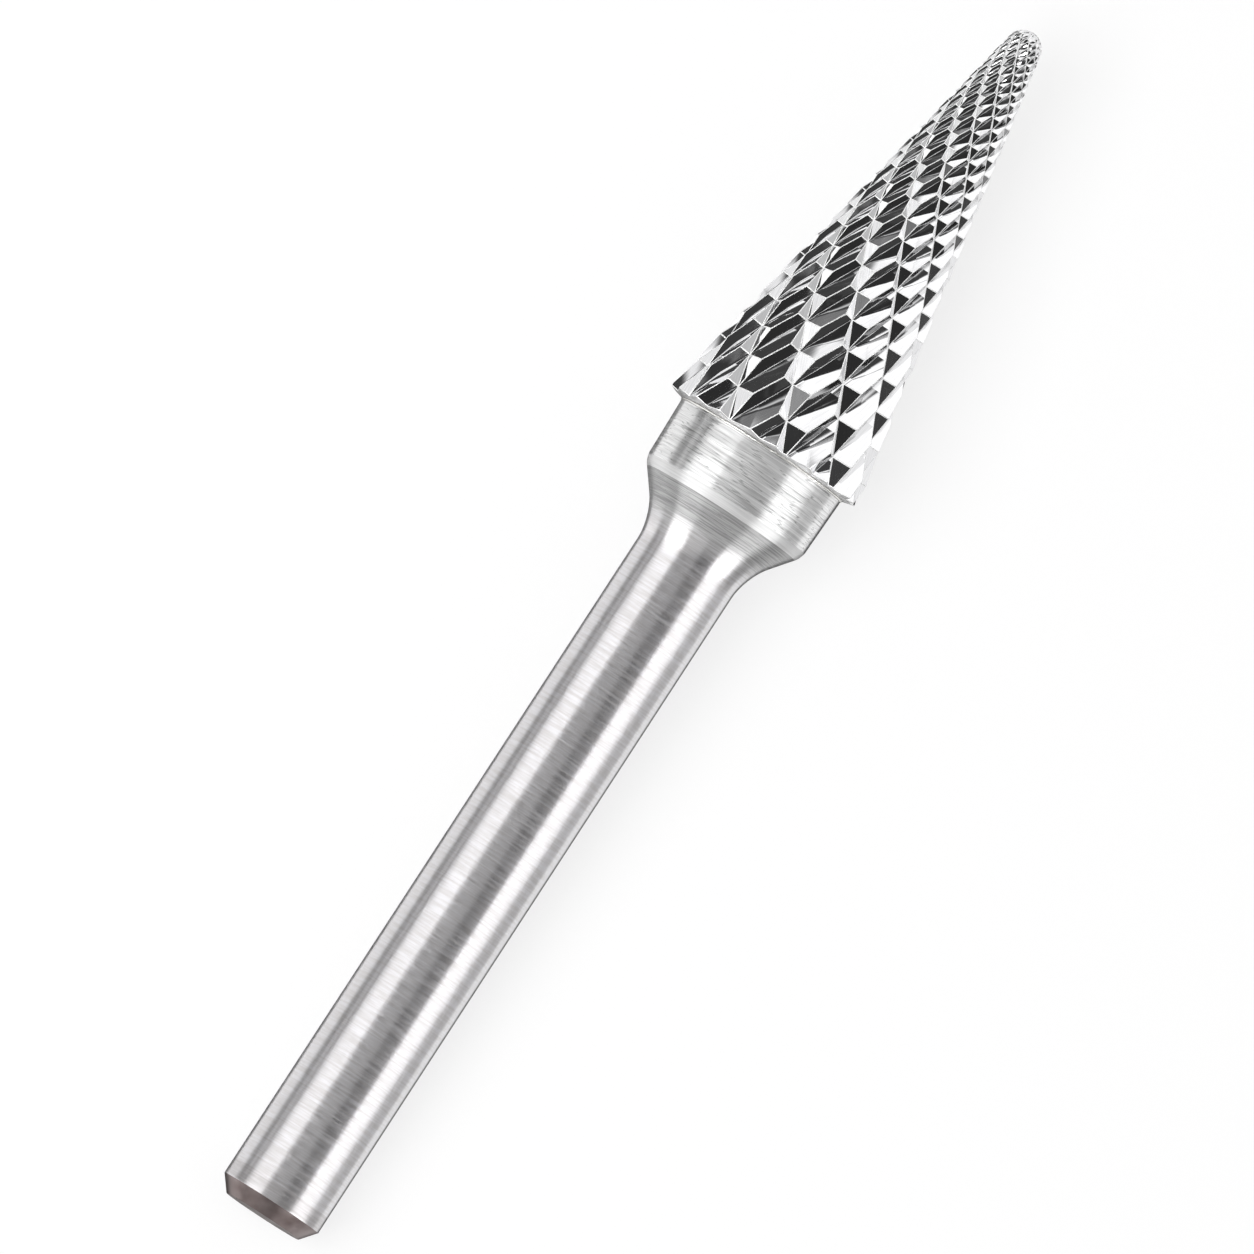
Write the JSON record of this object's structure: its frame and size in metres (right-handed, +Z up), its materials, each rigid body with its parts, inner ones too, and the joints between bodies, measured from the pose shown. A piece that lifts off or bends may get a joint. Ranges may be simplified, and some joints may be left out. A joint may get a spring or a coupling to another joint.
{
  "type": "cone carbide burr",
  "caption": "Cone-shaped double-cut carbide burr on a collared steel shank, for shaping metal with a die grinder.",
  "frame": {"origin": "centre of the box's bottom, on the surface the burr lies on", "axes": "+X along the tool towards the tip, +Z up from the surface it lies on"},
  "size_m": [0.0804, 0.0126, 0.0123],
  "materials": {
    "carbide": "bright ground cemented carbide",
    "silver_solder": "bright drawn solder line",
    "ground_steel": "satin, ground round and round"
  },
  "bodies": {
    "root": {"carbide_head": "carbide", "braze_joint": "silver_solder", "shank": "ground_steel"}
  },
  "joints": []
}
